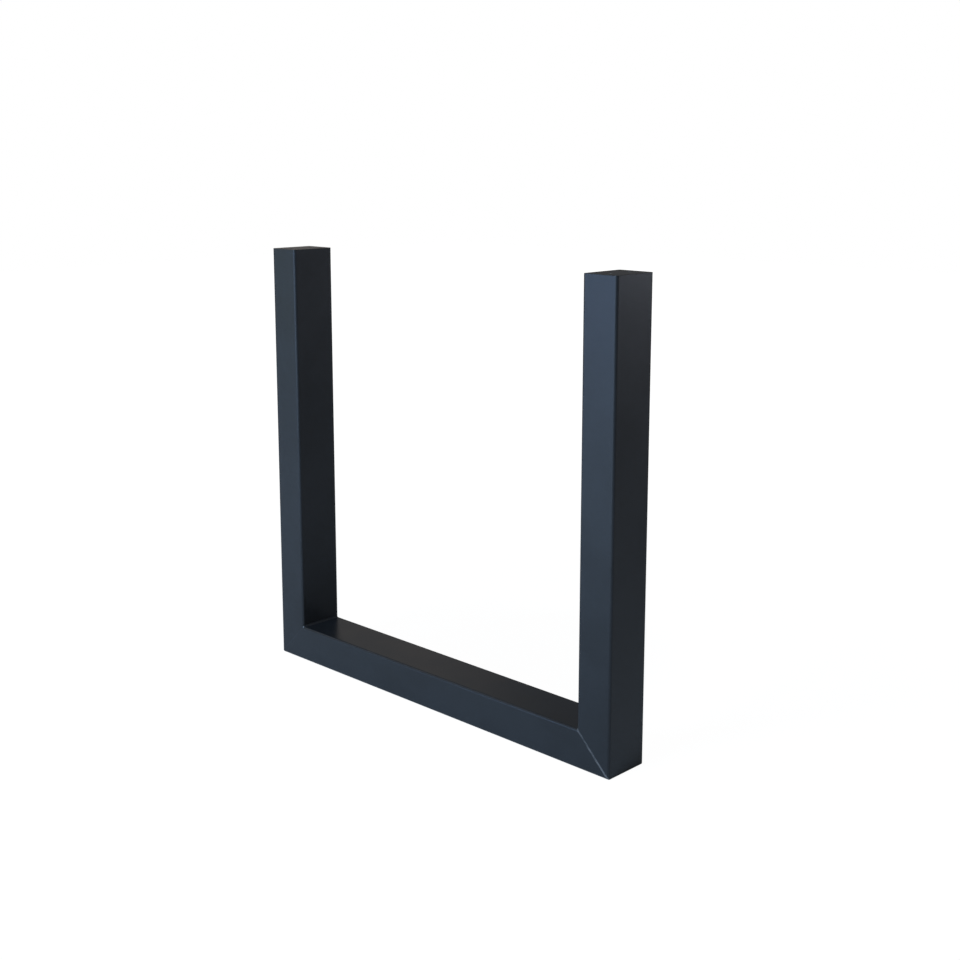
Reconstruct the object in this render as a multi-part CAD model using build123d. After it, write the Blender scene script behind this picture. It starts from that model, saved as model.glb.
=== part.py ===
from build123d import *
import os
from math import sqrt

# U-shaped table leg: two uprights and a bottom rail of rectangular steel tube, mitred and welded.
# X runs across the U, Y through its depth and Z up. The origin is on the floor, under the
# middle of the rail. All sizes are in millimetres.

# The frame
width = 750.0            # outer face to outer face
height = 720.0           # floor to the sawn tops of the uprights

# The tube, 80 x 60 x 2
face = 60.0              # side that lies in the plane of the U
depth = 80.0             # side that runs through its depth
wall = 2.0
corner_radius = 2 * wall  # outside of the cold-formed corners
rim_round = 0.5          # deburred outer edge of the sawn top

# The corner weld, through the wall and as wide as the gap between the mitred ends
weld_width = 2.4         # square to the mitre
outer_corner_round = 1.2  # left by the grinding disc on the lowest, outermost edge
bead_leg = 2.8           # inner bead's reach along each tube
bead_bulge = 0.4         # how far it stands beyond a straight line between its toes
bead_end = 6.5           # from the section's side to where the bead starts to round off

# The head plate, let into the top of each upright
plate_thickness = 8.0
plate_bevel = 1.5        # weld preparation round the plate's upper edge
thread_diameter = 8.0    # M8, drawn at its nominal size with no turns cut
thread_mouth = 0.6       # lead-in chamfer
thread_spacing = 40.0    # the two holes, across the leg's depth

upright_x = (width - face) / 2


def rounded_section(inset):
    """The tube's section, face along X and depth along Y, shrunk all round by inset."""
    return RectangleRounded(face - 2 * inset, depth - 2 * inset, corner_radius - inset)


def upright_length(inset):
    """The left upright's form before it is mitred, as a solid bar shrunk by inset."""
    return extrude(Pos(-upright_x, 0, 0) * rounded_section(inset), height)


def rail_length(inset):
    """The rail's form before it is mitred, lying along X at the foot of the uprights."""
    across = Plane(origin=(0, 0, face / 2), x_dir=(0, 0, 1), z_dir=(1, 0, 0))
    return extrude(across * rounded_section(inset), width / 2, both=True)


# The left mitre runs from the outer bottom edge to the inner corner. Its normal points up and
# out, so the upright lies on the positive side.
mitre = Plane(origin=(-width / 2, 0, 0), z_dir=(-1, 0, 1))
mitre_above = mitre.offset(weld_width / 2)
mitre_below = mitre.offset(-weld_width / 2)


def left_side_upright():
    """Tube sawn square at the top, where its outer edge is deburred, and mitred at the foot."""
    bar = upright_length(0)
    top_edges = bar.faces().sort_by(Axis.Z)[-1].edges()
    tube = fillet(top_edges, rim_round) - upright_length(wall)
    return split(tube, bisect_by=mitre_above, keep=Keep.TOP)


def rail():
    """Tube mitred at both ends, each cut half a weld short of the corner's diagonal."""
    tube = rail_length(0) - rail_length(wall)
    tube = split(tube, bisect_by=mitre_below, keep=Keep.BOTTOM)
    mirrored_below = Plane(origin=(width / 2, 0, 0), z_dir=(1, 0, 1)).offset(-weld_width / 2)
    return split(tube, bisect_by=mirrored_below, keep=Keep.BOTTOM)


def inner_bead():
    """The bead in the left inner corner: a slightly crowned fillet with rounded ends."""
    half_chord = bead_leg / sqrt(2)
    radius = (half_chord**2 + bead_bulge**2) / (2 * bead_bulge)
    set_back = (radius - bead_bulge - half_chord) / sqrt(2)
    centre_x = -width / 2 + face - set_back
    centre_z = face - set_back
    reach = depth / 2 - bead_end
    round_bar = Pos(centre_x, 0, centre_z) * Rot(90, 0, 0) * Cylinder(radius, 2 * reach)
    for end in (-reach, reach):
        round_bar += Pos(centre_x, end, centre_z) * Sphere(radius)
    return round_bar - upright_length(0) - rail_length(0)


def left_side_corner_weld():
    """A slice of the mitred corner, wall deep all round, with the bead on its inner side."""
    upright_half = split(upright_length(0) - upright_length(wall), bisect_by=mitre, keep=Keep.TOP)
    upright_half = split(upright_half, bisect_by=mitre_above, keep=Keep.BOTTOM)
    rail_half = split(rail_length(0) - rail_length(wall), bisect_by=mitre, keep=Keep.BOTTOM)
    rail_half = split(rail_half, bisect_by=mitre_below, keep=Keep.TOP)
    # the side view's outline, its lower corners taken round by the grinding disc
    outline = Plane.XZ * Pos(0, height / 2) * Rectangle(width, height)
    lower_corners = outline.vertices().sort_by(Axis.Z)[:2]
    outline = fillet(lower_corners, outer_corner_round)
    dressed = (upright_half + rail_half) & extrude(outline, depth, both=True)
    return dressed + inner_bead()


def plate_blank():
    """The left head plate before it is bevelled and drilled. It fills the tube's mouth."""
    foot = Pos(-upright_x, 0, height - plate_thickness)
    return extrude(foot * rounded_section(wall), plate_thickness)


def bevelled_plate():
    blank = plate_blank()
    return chamfer(blank.faces().sort_by(Axis.Z)[-1].edges(), plate_bevel)


def left_side_head_plate():
    """Bevelled plate with two tapped through holes, each with a lead-in chamfer."""
    plate = bevelled_plate()
    radius = thread_diameter / 2
    for side in (-1, 1):
        axis = Pos(-upright_x, side * thread_spacing / 2)
        hole = Cylinder(radius, plate_thickness)
        mouth = Cone(radius, radius + thread_mouth, thread_mouth)
        plate -= axis * Pos(0, 0, height - plate_thickness / 2) * hole
        plate -= axis * Pos(0, 0, height - thread_mouth / 2) * mouth
    return plate


def left_side_head_weld():
    """Weld metal that fills the plate's bevel, ground level with the sawn end of the tube."""
    return plate_blank() - bevelled_plate()


def right_of(piece):
    return mirror(piece, about=Plane.YZ)


pieces = {"bottom_rail": rail()}
for name, piece in {
    "upright": left_side_upright(),
    "corner_weld": left_side_corner_weld(),
    "head_plate": left_side_head_plate(),
    "head_weld": left_side_head_weld(),
}.items():
    pieces["left_" + name] = piece
    pieces["right_" + name] = right_of(piece)

os.makedirs("parts", exist_ok=True)
for name, piece in pieces.items():
    export_step(piece, f"parts/{name}.step")
    print(f"{name:20s} {piece.volume / 1000:9.3f} cm3")
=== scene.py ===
import math

import bpy
import numpy as np
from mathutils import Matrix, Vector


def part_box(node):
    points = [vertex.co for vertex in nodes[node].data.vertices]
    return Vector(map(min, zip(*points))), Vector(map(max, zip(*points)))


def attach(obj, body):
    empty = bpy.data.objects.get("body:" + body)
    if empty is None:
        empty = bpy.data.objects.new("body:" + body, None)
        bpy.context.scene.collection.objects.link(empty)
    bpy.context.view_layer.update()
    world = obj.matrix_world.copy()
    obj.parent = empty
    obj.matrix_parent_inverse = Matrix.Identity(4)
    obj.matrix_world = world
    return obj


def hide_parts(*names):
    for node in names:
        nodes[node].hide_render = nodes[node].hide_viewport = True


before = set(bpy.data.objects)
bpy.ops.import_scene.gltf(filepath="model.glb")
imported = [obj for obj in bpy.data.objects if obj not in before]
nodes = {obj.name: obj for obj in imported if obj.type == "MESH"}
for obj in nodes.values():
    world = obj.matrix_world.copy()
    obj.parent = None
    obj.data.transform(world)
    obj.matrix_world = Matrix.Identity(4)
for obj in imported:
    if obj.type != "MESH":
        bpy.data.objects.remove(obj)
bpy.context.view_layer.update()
mm = 0.001  # the leg's own sizes are in millimetres, and the camera, floor and lamps in metres
print("frame loaded:", len(nodes), "nodes")


# the camera, fitted to the edges of the leg in the photograph
cameraSettings = {
    "place": (1.5518, -1.5058, 0.8875),
    "turn": 44.348,  # degrees anticlockwise from looking along +Y
    "tilt": 10.181,  # degrees down
    "sensor": 36,  # millimetres wide, and the lens in millimetres too
    "lens": 52.586,
    "shiftY": -0.0833,  # the photograph's uprights lean together less than the tilt would make them
}


def makeCamera(settings):
    data = bpy.data.cameras.new("camera")
    data.sensor_width = settings["sensor"]
    data.lens = settings["lens"]
    data.shift_y = settings["shiftY"]
    camera = bpy.data.objects.new("camera", data)
    camera.location = settings["place"]
    lean = math.radians(90 - settings["tilt"])
    camera.rotation_euler = (lean, 0, math.radians(settings["turn"]))
    bpy.context.scene.collection.objects.link(camera)
    bpy.context.scene.camera = camera


makeCamera(cameraSettings)
print("camera placed")


# sizes of the tube, read from the CAD boxes of the left side
def boxInMm(name):
    low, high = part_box(name)
    return np.array(low) / mm, np.array(high) / mm


uprightLow, uprightHigh = boxInMm("left_upright")
plateLow, plateHigh = boxInMm("left_head_plate")
tube = {
    "outerX": uprightLow[0],  # the left upright's outer face
    "face": uprightHigh[0] - uprightLow[0],
    "depth": uprightHigh[1] - uprightLow[1],
    "top": uprightHigh[2],
    "wall": plateLow[0] - uprightLow[0],  # the plate fills the tube's mouth
    "cornerRadius": 4.0,  # as in the CAD model, and in no box
}
tube["axisX"] = tube["outerX"] + tube["face"] / 2
print("tube", round(tube["depth"]), "x", round(tube["face"]), "x", round(tube["wall"]), "mm")


# meshes from arrays
sharpAngle = 42  # degrees: a fold sharper than this stays an edge in the shading


# 0 at low, 1 at high and eased in between: three times the share's square, less twice its cube
def smoothStep(low, high, value):
    share = np.clip((value - low) / (high - low), 0, 1)
    return share * share * (3 - 2 * share)


# An uneven size along a seam: 1 plus sines, each given as its share of the size, its radians to
# the millimetre and its start.
def uneven(along, waves):
    return 1 + sum(share * np.sin(rate * along + start) for share, rate, start in waves)


# A grid of points, rows x columns x 3, joined four by four. The last row joins the first. The
# last column does too, or else the first and the last column become caps. The volume of the
# pyramids from the middle to the cells tells which way the cells face.
def gridMesh(name, grid, closedColumns):
    rows, columns = grid.shape[:2]
    number = np.arange(rows * columns).reshape(rows, columns)
    here = number if closedColumns else number[:, :-1]
    beside = np.roll(number, -1, axis=1) if closedColumns else number[:, 1:]
    above = np.roll(here, -1, axis=0)
    aboveBeside = np.roll(beside, -1, axis=0)
    cells = np.stack([here, beside, aboveBeside, above], axis=-1).reshape(-1, 4)
    faces = cells.tolist()
    if not closedColumns:
        faces.append(number[:, 0].tolist())
        faces.append(number[::-1, -1].tolist())
    flat = grid.reshape(-1, 3)
    a, b, c, d = (flat[cells[:, k]] for k in range(4))
    middle = flat.mean(axis=0)
    swept = np.cross(c - a, d - b)
    volume = np.einsum("ij,ij->", a + b + c + d - 4 * middle, swept)
    if volume < 0:  # the grid was inside out
        faces = [face[::-1] for face in faces]
    mesh = bpy.data.meshes.new(name)
    mesh.from_pydata((flat * mm).tolist(), [], faces)
    mesh.polygons.foreach_set("use_smooth", np.ones(len(mesh.polygons), dtype=bool))
    mesh.set_sharp_from_angle(angle=math.radians(sharpAngle))
    mesh.validate()
    return mesh


def addPiece(name, mesh, material, replaced=None):
    mesh.materials.append(material)
    piece = bpy.data.objects.new(name, mesh)
    bpy.context.scene.collection.objects.link(piece)
    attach(piece, "root")
    if replaced:
        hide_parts(replaced)


# Once round a rounded rectangle, anticlockwise. Side k faces the angle k x 90 degrees, and is
# followed by the quarter circle that leads to side k + 1. What comes back for each point is its
# place across and along the section and the angle that it faces.
def roundedOutline(halfAcross, halfAlong, radius, sideSteps, arcSteps):
    centres = [(1, 1), (-1, 1), (-1, -1), (1, -1)]
    centres = np.array(centres) * (halfAcross - radius, halfAlong - radius)
    places = []
    angles = []
    for side, steps in enumerate(sideSteps):
        facing = side * math.pi / 2
        run = np.linspace(0, 1, steps, endpoint=False)[:, None]
        places.append(centres[side - 1] * (1 - run) + centres[side] * run)
        angles.append(np.full(steps, facing))
        sweep = np.linspace(0, 1, arcSteps, endpoint=False)
        places.append(np.repeat(centres[side][None], arcSteps, axis=0))
        angles.append(facing + sweep * math.pi / 2)
    angle = np.concatenate(angles)
    outward = np.stack([np.cos(angle), np.sin(angle)], axis=1)
    place = np.concatenate(places) + radius * outward
    return place[:, 0], place[:, 1], angle


# materials and node groups
def newMaterial(name):
    material = bpy.data.materials.new(name)
    material.use_nodes = True
    tree = material.node_tree
    tree.nodes.clear()
    return material, tree


# Each keyword is an input's name, with an underscore for a space, or i and the input's number.
def addNode(tree, kind, settings=None, **inputs):
    node = tree.nodes.new(kind)
    for key, value in (settings or {}).items():
        setattr(node, key, value)
    for key, value in inputs.items():
        which = int(key[1:]) if key[1:].isdigit() else key.replace("_", " ")
        socket = node.inputs[which]
        if isinstance(value, bpy.types.NodeSocket):
            tree.links.new(value, socket)
        else:
            socket.default_value = value
    return node


def mathNode(tree, operation, first, second=0.0, third=0.0, clamp=False):
    settings = {"operation": operation, "use_clamp": clamp}
    return addNode(tree, "ShaderNodeMath", settings, i0=first, i1=second, i2=third).outputs[0]


def noiseNode(tree, place, scale, detail):
    return addNode(tree, "ShaderNodeTexNoise", Vector=place, Scale=scale, Detail=detail).outputs["Fac"]


def distanceNode(tree, place, centre):
    settings = {"operation": "DISTANCE"}
    return addNode(tree, "ShaderNodeVectorMath", settings, i0=place, i1=centre).outputs["Value"]


def mixValues(tree, share, first, second):
    settings = {"data_type": "FLOAT"}
    return addNode(tree, "ShaderNodeMix", settings, Factor=share, i2=first, i3=second).outputs[0]


def mixColours(tree, share, first, second):
    settings = {"data_type": "RGBA"}
    return addNode(tree, "ShaderNodeMix", settings, Factor=share, i6=first, i7=second).outputs[2]


# 1 where the value has reached full, 0 where it has reached none, and eased in between
def smoothMask(tree, value, full, none):
    settings = {"interpolation_type": "SMOOTHSTEP"}
    node = addNode(tree, "ShaderNodeMapRange", settings, Value=value, From_Min=none, From_Max=full)
    return node.outputs[0]


# a group that takes a place and some numbers, and puts out numbers
def newGroup(name, numbers, results):
    tree = bpy.data.node_groups.new(name, "ShaderNodeTree")
    tree.interface.new_socket("Place", in_out="INPUT", socket_type="NodeSocketVector")
    for label in numbers:
        tree.interface.new_socket(label, in_out="INPUT", socket_type="NodeSocketFloat")
    for label in results:
        tree.interface.new_socket(label, in_out="OUTPUT", socket_type="NodeSocketFloat")
    given = tree.nodes.new("NodeGroupInput").outputs
    result = tree.nodes.new("NodeGroupOutput").inputs
    return tree, given, result


def groupNode(tree, group, place, **numbers):
    return addNode(tree, "ShaderNodeGroup", {"node_tree": group}, Place=place, **numbers).outputs


# How a powder coat lies: the gentle waves of orange peel, a fine satin grain on top, and broad
# patches that are a little duller and paler than the rest.
peelSettings = {
    "peelDetail": 1.0,
    "grain": (3200.0, 2.0),  # cells of noise to the metre, and their detail
    "patches": (14.0, 4.0),
    "patchFull": 0.68,  # level of the noise where a patch is full, and where there is none
    "patchNone": 0.32,
}


def makePeelGroup(settings):
    numbers = ["Peel Size", "Peel Height", "Grain Height"]
    tree, given, result = newGroup("powderPeel", numbers, ["Height", "Patches"])
    perMetre = mathNode(tree, "DIVIDE", 1 / mm, given["Peel Size"])
    peel = noiseNode(tree, given["Place"], perMetre, settings["peelDetail"])
    peel = mathNode(tree, "MULTIPLY", peel, given["Peel Height"])
    grain = noiseNode(tree, given["Place"], *settings["grain"])
    height = mathNode(tree, "MULTIPLY_ADD", grain, given["Grain Height"], peel)
    patches = noiseNode(tree, given["Place"], *settings["patches"])
    patches = smoothMask(tree, patches, settings["patchFull"], settings["patchNone"])
    tree.links.new(height, result["Height"])
    tree.links.new(patches, result["Patches"])
    return tree


# How far a place lies from the nearer mitre's plane, in metres and positive on the upright's side:
# its distance from the middle plus its height, less half the leg's width, over the root of two.
def fromMitre(tree, split):
    lean = mathNode(tree, "ADD", mathNode(tree, "ABSOLUTE", split["X"]), split["Z"])
    lean = mathNode(tree, "ADD", lean, tube["outerX"] * mm)
    return mathNode(tree, "MULTIPLY", lean, math.sqrt(0.5))


# The stretch beside each mitre that was linished flush before coating: the distance from the
# mitre's plane gives the mask, and stretched noise gives marks along the tube.
dressedSettings = {
    "fullShare": 0.25,  # share of the reach over which the mask is full
    "lowFull": 75.0,  # heights between which it ends on the uprights' inner faces
    "lowNone": 95.0,
    "marksAcross": 1500.0,  # cells of noise to the metre
    "marksAlong": 45.0,
    "marksDetail": 3.0,
}


def makeDressedGroup(settings):
    tree, given, result = newGroup("dressedZone", ["Reach", "Mark Height"], ["Mask", "Height"])
    split = addNode(tree, "ShaderNodeSeparateXYZ", i0=given["Place"]).outputs
    away = fromMitre(tree, split)
    share = mathNode(tree, "DIVIDE", mathNode(tree, "ABSOLUTE", away), given["Reach"])
    near = smoothMask(tree, share, settings["fullShare"], 1.0)
    low = smoothMask(tree, split["Z"], settings["lowFull"] * mm, settings["lowNone"] * mm)
    mask = mathNode(tree, "MULTIPLY", near, low)
    across, along = settings["marksAcross"], settings["marksAlong"]
    stretching = {"operation": "MULTIPLY"}
    marks = []
    for stretch in ((along, across, across), (across, across, along)):  # on the rail, on an upright
        place = addNode(tree, "ShaderNodeVectorMath", stretching, i0=given["Place"], i1=stretch)
        marks.append(noiseNode(tree, place.outputs[0], 1.0, settings["marksDetail"]))
    onUpright = mathNode(tree, "GREATER_THAN", away, 0.0)
    height = mathNode(tree, "MULTIPLY", mixValues(tree, onUpright, *marks), given["Mark Height"])
    tree.links.new(mask, result["Mask"])
    tree.links.new(mathNode(tree, "MULTIPLY", height, mask), result["Height"])
    return tree


# A painted highlight on the right mitre's crest: a pale line on the front and back of the tube,
# full on the mitre's plane and gone at the half width. One noise moves it to and fro, another lets
# it come and go, and it is strongest at the foot.
paintedHighlightSettings = {
    "fullShare": 0.4,  # share of the half width over which the line is full
    "drift": (110.0, 2.0),  # cells of noise to the metre, and their detail
    "strength": (90.0, 3.0),
    "strengthFull": 0.7,  # level of the noise where the line is full, and where it is gone
    "strengthNone": 0.25,
    "footHeight": 30.0,  # below it the line grows full, whatever the noise
    "sideFull": 3.0,  # how far in from the front and back it is full, and where it is gone
    "sideNone": 4.5,
}


def makePaintedHighlightGroup(settings):
    tree, given, result = newGroup("paintedHighlightMitre", ["Half Width", "Wander"], ["Mask"])
    split = addNode(tree, "ShaderNodeSeparateXYZ", i0=given["Place"]).outputs
    drift = mathNode(tree, "SUBTRACT", noiseNode(tree, given["Place"], *settings["drift"]), 0.5)
    away = mathNode(tree, "MULTIPLY_ADD", drift, given["Wander"], fromMitre(tree, split))
    share = mathNode(tree, "DIVIDE", mathNode(tree, "ABSOLUTE", away), given["Half Width"])
    line = smoothMask(tree, share, settings["fullShare"], 1.0)
    strength = noiseNode(tree, given["Place"], *settings["strength"])
    strength = smoothMask(tree, strength, settings["strengthFull"], settings["strengthNone"])
    foot = smoothMask(tree, split["Z"], 0.0, settings["footHeight"] * mm)
    strength = mathNode(tree, "ADD", strength, foot, clamp=True)
    front = tube["depth"] / 2
    full, none = (front - settings["sideFull"]) * mm, (front - settings["sideNone"]) * mm
    sides = smoothMask(tree, mathNode(tree, "ABSOLUTE", split["Y"]), full, none)
    onRight = mathNode(tree, "GREATER_THAN", split["X"], 0.0)
    for mask in (strength, sides, onRight):
        line = mathNode(tree, "MULTIPLY", line, mask)
    tree.links.new(line, result["Mask"])
    return tree


# the tapped holes in the head plates
threadSettings = {
    "radius": 4.0,  # M8, as the plain bore in the CAD model
    "spacing": 40.0,
    "bareTo": 0.25,  # how far bare steel shows round the bore, and where the coat is full
    "coatFrom": 0.4,
    "crestRadius": 3.32,
    "pitch": 1.25,
    "rootHalf": 0.45,  # half the ridge's width at its root and crest, as a share of the pitch
    "crestHalf": 0.125,
    "sink": 0.05,  # how far the ridge's root goes into the wall of the bore
    "fromTop": 0.75,
    "fromBottom": 0.15,
    "taperTurns": 0.6,  # the first and last of the ridge, over which it fades to the end's height
    "endHeight": 0.06,  # as a share of its full height
    "stepsPerTurn": 56,
}


# One inside the tapped holes, where a plug kept the powder out.
def makeBoreGroup(settings):
    tree, given, result = newGroup("maskedBore", [], ["Mask"])
    split = addNode(tree, "ShaderNodeSeparateXYZ", i0=given["Place"]).outputs
    fromAxisX = mathNode(tree, "ADD", mathNode(tree, "ABSOLUTE", split["X"]), tube["axisX"] * mm)
    holeY = settings["spacing"] / 2 * mm
    fromAxisY = mathNode(tree, "SUBTRACT", mathNode(tree, "ABSOLUTE", split["Y"]), holeY)
    squareX = mathNode(tree, "MULTIPLY", fromAxisX, fromAxisX)
    distance = mathNode(tree, "SQRT", mathNode(tree, "MULTIPLY_ADD", fromAxisY, fromAxisY, squareX))
    full = (settings["radius"] + settings["bareTo"]) * mm
    none = (settings["radius"] + settings["coatFrom"]) * mm
    tree.links.new(smoothMask(tree, distance, full, none), result["Mask"])
    return tree


peelGroup = makePeelGroup(peelSettings)
dressedGroup = makeDressedGroup(dressedSettings)
paintedHighlightGroup = makePaintedHighlightGroup(paintedHighlightSettings)
boreGroup = makeBoreGroup(threadSettings)
print("node groups built")


# powder coat: satin anthracite black
coatSettings = {
    "dark": (0.0142, 0.0166, 0.0198, 1),
    "pale": (0.0174, 0.0203, 0.0242, 1),
    # a pale colour painted as a highlight along the right mitre's crest
    "paintedHighlight": (0.118, 0.115, 0.116, 1),
    "roughness": (0.29, 0.325),  # between the patches and in them
    "dressedRoughness": 0.03,  # added beside the mitres
    "paintedHighlightRoughness": 0.06,  # added on the painted highlight line
    "peelSize": 1.6,
    "peelHeight": 0.03,
    "grainHeight": 0.0015,
    "markHeight": 0.003,  # of the linishing marks
    "dressedReach": 22.0,  # how far they go on each side of the mitre
    "paintedHighlightHalfWidth": 2.2,
    "paintedHighlightWander": 1.4,  # how far the noise moves the painted highlight line, from one side to the other
}
# over weld metal it is paler and duller
weldCoatSettings = {
    **coatSettings,
    "dark": (0.0170, 0.0196, 0.0230, 1),
    "pale": (0.0230, 0.0264, 0.0310, 1),
    "roughness": (0.32, 0.36),
}
# bare steel
steelSettings = {
    "colour": (0.44, 0.43, 0.42, 1),
    "roughness": 0.38,
    "roughnessSpread": 0.16,  # from the smoothest to the roughest specks of the threads
    "specks": (2400.0, 2.0),  # cells of noise to the metre, and their detail
}


def makeCoat(name, settings, bores=False):
    material, tree = newMaterial(name)
    place = addNode(tree, "ShaderNodeTexCoord").outputs["Object"]
    peel = groupNode(
        tree,
        peelGroup,
        place,
        Peel_Size=settings["peelSize"],
        Peel_Height=settings["peelHeight"],
        Grain_Height=settings["grainHeight"],
    )
    reach, markHeight = settings["dressedReach"] * mm, settings["markHeight"]
    dressed = groupNode(tree, dressedGroup, place, Reach=reach, Mark_Height=markHeight)
    halfWidth, wander = settings["paintedHighlightHalfWidth"] * mm, settings["paintedHighlightWander"] * mm
    paintedHighlight = groupNode(tree, paintedHighlightGroup, place, Half_Width=halfWidth, Wander=wander)
    colour = mixColours(tree, peel["Patches"], settings["dark"], settings["pale"])
    # the painted highlight: a pale line on the right mitre's crest
    colour = mixColours(tree, paintedHighlight["Mask"], colour, settings["paintedHighlight"])
    smooth, dull = settings["roughness"]
    rough = mathNode(tree, "MULTIPLY_ADD", peel["Patches"], dull - smooth, smooth)
    rough = mathNode(tree, "MULTIPLY_ADD", dressed["Mask"], settings["dressedRoughness"], rough)
    rough = mathNode(tree, "MULTIPLY_ADD", paintedHighlight["Mask"], settings["paintedHighlightRoughness"], rough)
    height = mathNode(tree, "ADD", peel["Height"], dressed["Height"])
    bump = addNode(tree, "ShaderNodeBump", Height=height, Strength=1.0, Distance=mm)  # heights in mm
    shader = addNode(tree, "ShaderNodeBsdfPrincipled", Normal=bump.outputs[0])
    if bores:
        bare = groupNode(tree, boreGroup, place)["Mask"]
        colour = mixColours(tree, bare, colour, steelSettings["colour"])
        rough = mixValues(tree, bare, rough, steelSettings["roughness"])
        tree.links.new(bare, shader.inputs["Metallic"])
    tree.links.new(colour, shader.inputs["Base Color"])
    tree.links.new(rough, shader.inputs["Roughness"])
    addNode(tree, "ShaderNodeOutputMaterial", Surface=shader.outputs[0])
    return material


def makeSteel(name, settings):
    material, tree = newMaterial(name)
    place = addNode(tree, "ShaderNodeTexCoord").outputs["Object"]
    specks = noiseNode(tree, place, *settings["specks"])
    spread = settings["roughnessSpread"]
    rough = mathNode(tree, "MULTIPLY_ADD", specks, spread, settings["roughness"] - spread / 2)
    shader = addNode(tree, "ShaderNodeBsdfPrincipled", Base_Color=settings["colour"], Metallic=1.0)
    tree.links.new(rough, shader.inputs["Roughness"])
    addNode(tree, "ShaderNodeOutputMaterial", Surface=shader.outputs[0])
    return material


tubeCoat = makeCoat("powderCoat", coatSettings)
plateCoat = makeCoat("powderCoatPlate", coatSettings, bores=True)
weldCoat = makeCoat("powderCoatWeld", weldCoatSettings)
steel = makeSteel("tappedSteel", steelSettings)
for name, node in nodes.items():
    chosen = plateCoat if name.endswith("plate") else tubeCoat
    for slot in node.material_slots:
        slot.material = chosen
print("powder coat on", len(nodes), "nodes")


# corner welds
cornerWeldSettings = {
    "halfWidth": 1.2,  # from the mitre's plane square to the tube's cut end
    "feather": 0.2,  # how far the dressed weld is feathered over the tube's surface
    "toeDepth": 0.02,  # its edge is sunk this far, so that it fades out
    "seat": 0.25,  # depth of the shoulder under the toes
    "rootGap": 0.04,  # between the weld's sides and the tube's cut ends
    "crown": {"left": 0.06, "right": 0.3},  # height over the tube's faces
    "crownWaves": [(0.22, 0.31, 1.3), (0.14, 0.83, 0.4)],  # share, radians to the millimetre, start
    "crownFade": 4,  # power of the sine of the facing angle, which ends the crown at the corners
    "cornerRound": 0.52,  # the ground outer edge, beyond a straight cut from toe to toe
    "innerSink": 0.25,  # how far the inner side is sunk where the bead ends
    "beadLeg": 2.8,
    "beadWaves": [(0.035, 0.47, 0.6)],
    "beadCrown": 0.4,
    "beadFrom": 36.0,  # where the bead starts and where it is full, from the middle of the depth
    "beadFull": 32.5,
    "ripplePitch": 2.3,
    "rippleHeight": 0.1,
    "rippleBow": 1.1,  # how far a ripple's middle leads its ends
    "rippleDrift": (0.25, 0.9),  # how far the ripples stray from their pitch, and its rate
    "acrossSteps": 14,
    "sideSteps": (300, 70, 60, 70),  # inner, back, outer and front side
    "arcSteps": 10,
}


# The weld in a mitred corner, as a ring. Its course is the tube's outline laid on the mitre's
# plane: a point lies as high as it is far from the section's outer side. From there one toe goes
# up the upright and the other along the rail, both by the leg. Between the toes the surface is
# the straight line from toe to toe plus a parabola, in the direction halfway between the two
# tubes' normals. Ripples are a sine along the inner bead, bowed by the square of the place
# across it.
def cornerWeldGrid(side, settings):
    halfFace, halfDepth = tube["face"] / 2, tube["depth"] / 2
    across, y, angle = roundedOutline(
        halfFace, halfDepth, tube["cornerRadius"], settings["sideSteps"], settings["arcSteps"]
    )
    level = across + halfFace
    facing, sideways = np.cos(angle), np.sin(angle)
    none = np.zeros_like(level)
    normalUp = np.stack([facing, sideways, none], axis=1)  # of the upright's surface
    normalAlong = np.stack([none, sideways, facing], axis=1)  # of the rail's
    normal = normalUp + normalAlong
    normal /= np.linalg.norm(normal, axis=1)[:, None]
    course = np.stack([tube["outerX"] + level, y, level], axis=1)
    within = course - tube["wall"] * np.stack([facing, sideways, facing], axis=1)

    onInnerFlat = np.isclose(facing, 1)
    bead = smoothStep(settings["beadFrom"], settings["beadFull"], np.abs(y)) * onInnerFlat
    outer = np.clip(-facing, 0, 1)
    inner = np.clip(facing, 0, 1)
    crown = settings["crown"][side] * uneven(level, settings["crownWaves"])
    crown = crown * np.abs(sideways) ** settings["crownFade"] + settings["cornerRound"] * outer
    crown = crown + bead * (settings["beadCrown"] - crown) - settings["innerSink"] * inner * (1 - bead)
    cutLeg = settings["halfWidth"] * math.sqrt(2)  # from the mitre to the cut end, along the tube
    leg = cutLeg + settings["feather"]
    leg = leg + bead * (settings["beadLeg"] * uneven(y, settings["beadWaves"]) - leg)

    up = np.array([0, 0, 1])
    along = np.array([1, 0, 0])
    toeUp = course + leg[:, None] * up - settings["toeDepth"] * normalUp
    toeAlong = course + leg[:, None] * along - settings["toeDepth"] * normalAlong
    share = np.linspace(0, 1, settings["acrossSteps"])[:, None]
    hump = 4 * share * (1 - share)
    stray, rate = settings["rippleDrift"]
    bow = settings["rippleBow"] * (2 * share - 1) ** 2
    phase = 2 * math.pi * (y[None] + bow + stray * np.sin(rate * y)[None]) / settings["ripplePitch"]
    ripple = settings["rippleHeight"] * bead[None] * np.sin(phase) * np.sqrt(hump)
    rise = hump * crown[None] + ripple
    surface = toeUp * (1 - share[..., None]) + toeAlong * share[..., None] + rise[..., None] * normal

    root = cutLeg - settings["rootGap"]
    under = [
        course + root * along - settings["seat"] * normalAlong,
        within + root * along,
        within + root * up,
        course + root * up - settings["seat"] * normalUp,
    ]
    grid = np.concatenate([surface, np.stack(under)])
    if side == "right":
        grid[..., 0] *= -1
    return grid


for side in ("left", "right"):
    name = side + "_corner_weld"
    mesh = gridMesh(name + "Bead", cornerWeldGrid(side, cornerWeldSettings), closedColumns=True)
    addPiece(name + "Bead", mesh, weldCoat, name)
print("corner welds carried round the mitres")


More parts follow.
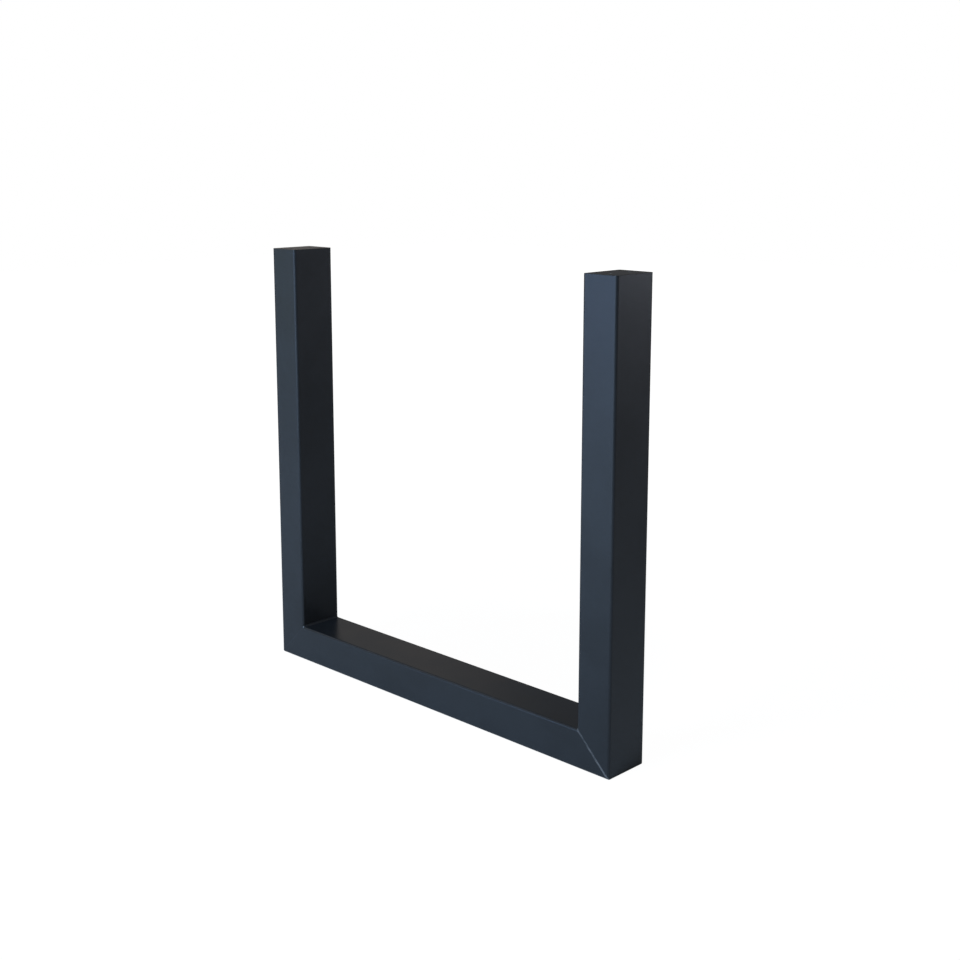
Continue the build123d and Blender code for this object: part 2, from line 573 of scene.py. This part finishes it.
# head welds, ground level with the sawn tube
headWeldSettings = {
    "bevel": 1.5,  # of the plate's upper edge
    "overWall": 0.12,  # how far the weld reaches over the tube's end and over the plate
    "overPlate": 0.2,
    "toeDepth": 0.015,
    "crown": 0.05,
    "crownWaves": [(0.3, 0.23, 0.7)],
    "shoulder": 0.1,  # depth at which it turns down, a little inside the wall and the bevel
    "wallGap": 0.03,
    "bevelGap": 0.12,
    "rootDepth": 1.44,
    "acrossSteps": 8,
    "sideSteps": (60, 44, 60, 44),
    "arcSteps": 6,
}


# A ring that fills the plate's bevel. Its course is the inside of the tube's mouth. The profile
# runs inwards from the wall: a low parabola on top, and the bevel's slope below.
def headWeldGrid(side, settings):
    wall = tube["wall"]
    across, y, angle = roundedOutline(
        tube["face"] / 2 - wall,
        tube["depth"] / 2 - wall,
        tube["cornerRadius"] - wall,
        settings["sideSteps"],
        settings["arcSteps"],
    )
    share = np.linspace(0, 1, settings["acrossSteps"])
    reach = settings["bevel"] + settings["overWall"] + settings["overPlate"]
    inset = -settings["overWall"] + share * reach
    height = 4 * share * (1 - share) * (settings["crown"] + settings["toeDepth"]) - settings["toeDepth"]
    shoulder, wallGap = settings["shoulder"], settings["wallGap"]
    inset = np.append(inset, [settings["bevel"] - settings["bevelGap"], wallGap, wallGap])
    height = np.append(height, [-shoulder, -settings["rootDepth"], -shoulder])
    x = tube["axisX"] + across[None] - inset[:, None] * np.cos(angle)[None]
    depth = y[None] - inset[:, None] * np.sin(angle)[None]
    wander = uneven(across + y, settings["crownWaves"])[None]
    z = tube["top"] + height[:, None] * np.where(height[:, None] > 0, wander, 1)
    grid = np.stack([x, depth, z], axis=-1)
    if side == "right":
        grid[..., 0] *= -1
    return grid


for side in ("left", "right"):
    name = side + "_head_weld"
    mesh = gridMesh(name + "Ring", headWeldGrid(side, headWeldSettings), closedColumns=True)
    addPiece(name + "Ring", mesh, weldCoat, name)
print("head welds laid round the plates")


# A screw thread's ridge: a flat-topped tooth carried up a helix inside the bore. The tooth's
# height fades out at both ends.
def threadGrid(side, holeY, settings):
    pitch = settings["pitch"]
    low = plateLow[2] + settings["fromBottom"] + pitch / 2
    high = plateHigh[2] - settings["fromTop"] - pitch / 2
    turns = (high - low) / pitch
    turn = np.linspace(0, turns, int(turns * settings["stepsPerTurn"]))
    fade = smoothStep(0, settings["taperTurns"], np.minimum(turn, turns - turn))
    fade = settings["endHeight"] + (1 - settings["endHeight"]) * fade
    rootRadius = settings["radius"] + settings["sink"]
    toothHeight = (rootRadius - settings["crestRadius"]) * fade
    rootHalf, crestHalf = settings["rootHalf"] * pitch, settings["crestHalf"] * pitch
    tooth = [(0, -rootHalf), (1, -crestHalf), (1, crestHalf), (0, rootHalf)]
    angle = 2 * math.pi * turn  # a right-hand thread climbs as it turns anticlockwise
    rows = []
    for share, offset in tooth:
        radius = rootRadius - share * toothHeight
        lift = offset * (fade if share else 1)
        x = tube["axisX"] + radius * np.cos(angle)
        y = holeY + radius * np.sin(angle)
        z = low + turn * pitch + lift
        rows.append(np.stack([x, y, z], axis=1))
    grid = np.stack(rows)
    if side == "right":
        grid[..., 0] -= 2 * tube["axisX"]  # moved and not mirrored, so that it stays right-handed
    return grid


for side in ("left", "right"):
    for place, sign in (("front", -1), ("rear", 1)):
        name = side + place.capitalize() + "Thread"
        grid = threadGrid(side, sign * threadSettings["spacing"] / 2, threadSettings)
        addPiece(name, gridMesh(name, grid, closedColumns=False), steel)
print("threads cut")


# Share of plain white in what a ray meets: the camera sees as much of it as is given, a glossy
# surface mirrors a little, and glass shows it all.
def whiteShare(tree, toCamera, toGloss):
    path = addNode(tree, "ShaderNodeLightPath").outputs
    share = mathNode(tree, "MULTIPLY", path["Is Camera Ray"], toCamera)
    share = mathNode(tree, "MULTIPLY_ADD", path["Is Glossy Ray"], toGloss, share)
    return mathNode(tree, "ADD", share, path["Is Transmission Ray"], clamp=True)


# floor
floorSettings = {
    "side": 16.0,
    "colour": (0.8, 0.8, 0.8, 1),
    "paintedShadowColour": (0.3, 0.3, 0.3, 1),  # painted shadow: darker paper right behind the rail, mirrored low in the leg
    "paintedShadowPlace": (-0.07, 0.27, 0.0),
    "paintedShadowFull": 0.15,  # how far from there it is full, and where it ends
    "paintedShadowNone": 0.33,
    "nearWhite": 0.92,  # share of white that the camera sees by the leg, so that a shadow shows
    "nearTo": 0.7,  # how far from the leg that holds, and how far off it is all white
    "whiteFrom": 2.2,
    "whiteStrength": 1.07,
    "glossyWhite": 0.04,  # share of white that the coat mirrors
}


def makeFloor(settings):
    half = settings["side"] / 2
    mesh = bpy.data.meshes.new("floor")
    corners = [(-half, -half, 0), (half, -half, 0), (half, half, 0), (-half, half, 0)]
    mesh.from_pydata(corners, [], [(0, 1, 2, 3)])
    floor = bpy.data.objects.new("floor", mesh)
    bpy.context.scene.collection.objects.link(floor)
    material, tree = newMaterial("floorPaper")
    place = addNode(tree, "ShaderNodeTexCoord").outputs["Object"]
    fromLeg = distanceNode(tree, place, (0, 0, 0))
    near = smoothMask(tree, fromLeg, settings["nearTo"], settings["whiteFrom"])
    white = mathNode(tree, "MULTIPLY_ADD", near, settings["nearWhite"] - 1, 1.0)
    share = whiteShare(tree, white, settings["glossyWhite"])
    # painted shadow: the paper darkens round a place right behind the rail
    fromPaintedShadow = distanceNode(tree, place, settings["paintedShadowPlace"])
    paintedShadow = smoothMask(tree, fromPaintedShadow, settings["paintedShadowFull"], settings["paintedShadowNone"])
    tone = mixColours(tree, paintedShadow, settings["colour"], settings["paintedShadowColour"])
    paper = addNode(tree, "ShaderNodeBsdfDiffuse", Color=tone)
    glow = addNode(tree, "ShaderNodeEmission", Strength=settings["whiteStrength"])
    mix = addNode(tree, "ShaderNodeMixShader", i0=share, i1=paper.outputs[0], i2=glow.outputs[0])
    addNode(tree, "ShaderNodeOutputMaterial", Surface=mix.outputs[0])
    mesh.materials.append(material)


makeFloor(floorSettings)


# the room: white to the camera, and to the leg a dim even dome with a little of that white
worldSettings = {
    "dome": (0.08, 0.08, 0.08, 1),
    "white": (1, 1, 1, 1),
    "glossyWhite": 0.04,
}


def makeWorld(settings):
    world = bpy.data.worlds.new("room")
    bpy.context.scene.world = world
    world.use_nodes = True
    tree = world.node_tree
    tree.nodes.clear()
    dome = addNode(tree, "ShaderNodeBackground", Color=settings["dome"])
    white = addNode(tree, "ShaderNodeBackground", Color=settings["white"])
    share = whiteShare(tree, 1.0, settings["glossyWhite"])
    mix = addNode(tree, "ShaderNodeMixShader", i0=share, i1=dome.outputs[0], i2=white.outputs[0])
    addNode(tree, "ShaderNodeOutputWorld", Surface=mix.outputs[0])


makeWorld(worldSettings)


# lamps: a cool softbox high in front, windows all round, a soft panel over the left, and a weak
# one behind on the left that the rail's upper face mirrors
lampSettings = {
    "softbox": {
        "place": (-0.3, -3.6, 1.8),
        "target": (-0.4, -1.0, 0.0),
        "size": (1.6, 1.2),
        "power": 148,  # watts
        "colour": (0.552, 0.752, 1.0),
    },
    "frontWindow": {
        "place": (-2.3, -4.3, 0.45),
        "target": (-1.0, -1.5, 0.3),
        "size": (1.8, 0.8),
        "power": 20,
        "colour": (0.387, 0.568, 1.0),
    },
    "sideWindow": {
        "place": (-3.6, -3.2, 0.45),
        "target": (-1.6, -1.0, 0.3),
        "size": (1.8, 0.8),
        "power": 3.3,
        "colour": (0.83, 1.0, 0.93),
    },
    "topPanel": {
        "place": (-2.6, -0.6, 2.4),
        "target": (-1.2, -0.3, 0.2),
        "size": (2.4, 1.6),
        "power": 8.6,
        "colour": (1.0, 1.0, 1.0),
    },
    "rightWindow": {
        "place": (3.4, 0.6, 1.2),
        "target": (1.6, 0.4, 0.2),
        "size": (2.0, 1.4),
        "power": 2.4,
        "colour": (1.0, 1.0, 1.0),
    },
    "rearWindow": {
        "place": (3.3, 5.0, 0.8),
        "target": (1.0, 1.5, 0.5),
        "size": (1.6, 0.8),
        "power": 20.5,
        "colour": (0.78, 0.84, 1.0),
    },
    "rearPanel": {
        "place": (-3.3, 2.55, 1.6),
        "target": (-1.0, 0.8, 0.4),
        "size": (1.5, 1.0),
        "power": 1.1,
        "colour": (1.0, 0.88, 0.77),
    },
}


def makeLamp(name, settings):
    data = bpy.data.lights.new(name, "AREA")
    data.shape = "RECTANGLE"
    data.size, data.size_y = settings["size"]
    data.energy = settings["power"]
    data.color = settings["colour"]
    lamp = bpy.data.objects.new(name, data)
    aim = np.array(settings["target"]) - settings["place"]
    turn = math.atan2(aim[1], aim[0]) - math.pi / 2
    lean = math.acos(-aim[2] / np.linalg.norm(aim))
    lamp.location = settings["place"]
    lamp.rotation_euler = (lean, 0, turn)
    bpy.context.scene.collection.objects.link(lamp)


for name, settings in lampSettings.items():
    makeLamp(name, settings)
print("floor, room and lamps set")

bpy.context.scene.view_settings.view_transform = "Standard"
